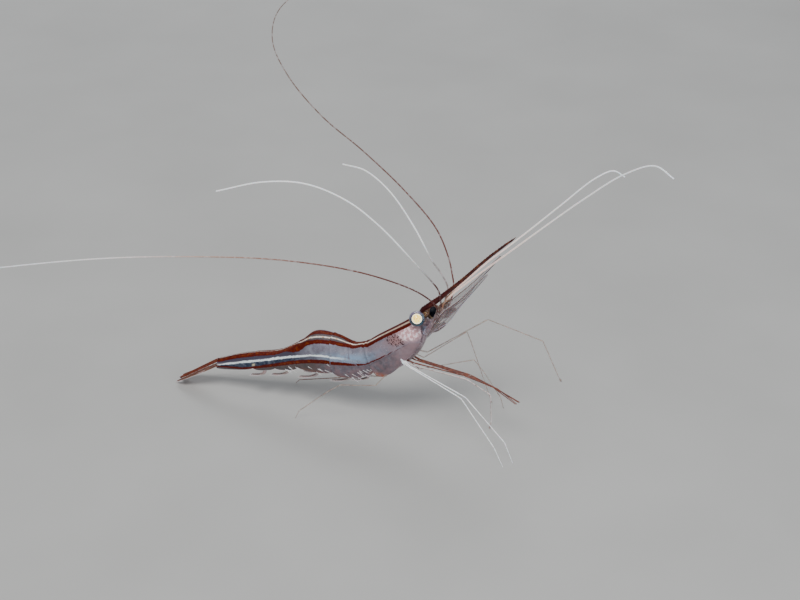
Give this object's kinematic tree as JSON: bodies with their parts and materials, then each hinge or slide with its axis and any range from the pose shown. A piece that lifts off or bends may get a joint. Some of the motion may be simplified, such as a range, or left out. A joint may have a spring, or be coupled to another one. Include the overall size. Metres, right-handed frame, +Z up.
{
  "type": "shrimp figure",
  "caption": "Life-size still model of a narwal shrimp standing on its walking legs, with a long toothed rostrum and sweeping feelers.",
  "frame": {"origin": "on the floor, under the middle of the whole animal's bounding box, feelers included", "axes": "+X towards the head end, +Y to the animal's left, +Z up"},
  "size_m": [0.1638, 0.0738, 0.0957],
  "materials": {
    "shell": "moist, semi-translucent, grey-violet",
    "red_shell": "glossy, dark red",
    "flesh": "moist, pinkish, mottled",
    "red_leg": "glossy, orange-red",
    "pale_leg": "glossy, white",
    "antenna": "satin, red-brown",
    "flagellum": "satin, blue-white",
    "blade": "thin, semi-translucent",
    "tail_red": "thin, semi-translucent, red",
    "eye": "polished, dark"
  },
  "bodies": {
    "root": {"carapace": "shell", "head": "flesh", "pleon_1": "shell", "pleon_2": "shell", "pleon_3": "shell", "pleon_4": "shell", "pleon_5": "shell", "pleon_6": "shell", "rostrum": "red_shell", "eye_right": "eye", "eyestalk_right": "flesh", "antennule_right": "flesh", "antenna_base_right": "flesh", "flagellum_back_right": "flagellum", "flagellum_front_right": "flagellum", "antenna_right": "antenna", "scale_right": "blade", "maxilliped_right": "red_leg", "leg_1_right": "red_leg", "leg_2_right": "red_leg", "leg_3_right": "pale_leg", "leg_4_right": "pale_leg", "leg_5_right": "red_leg", "pleopod_1_right": "blade", "pleopod_2_right": "blade", "pleopod_3_right": "blade", "pleopod_4_right": "blade", "pleopod_5_right": "blade", "uropod_inner_right": "tail_red", "uropod_outer_right": "tail_red", "eye_left": "eye", "eyestalk_left": "flesh", "antennule_left": "flesh", "antenna_base_left": "flesh", "flagellum_back_left": "flagellum", "flagellum_front_left": "flagellum", "antenna_left": "antenna", "scale_left": "blade", "maxilliped_left": "red_leg", "leg_1_left": "red_leg", "leg_2_left": "red_leg", "leg_3_left": "red_leg", "leg_4_left": "red_leg", "leg_5_left": "red_leg", "pleopod_1_left": "blade", "pleopod_2_left": "blade", "pleopod_3_left": "blade", "pleopod_4_left": "blade", "pleopod_5_left": "blade", "uropod_inner_left": "tail_red", "uropod_outer_left": "tail_red", "mouthparts": "flesh", "telson": "tail_red"}
  },
  "joints": []
}
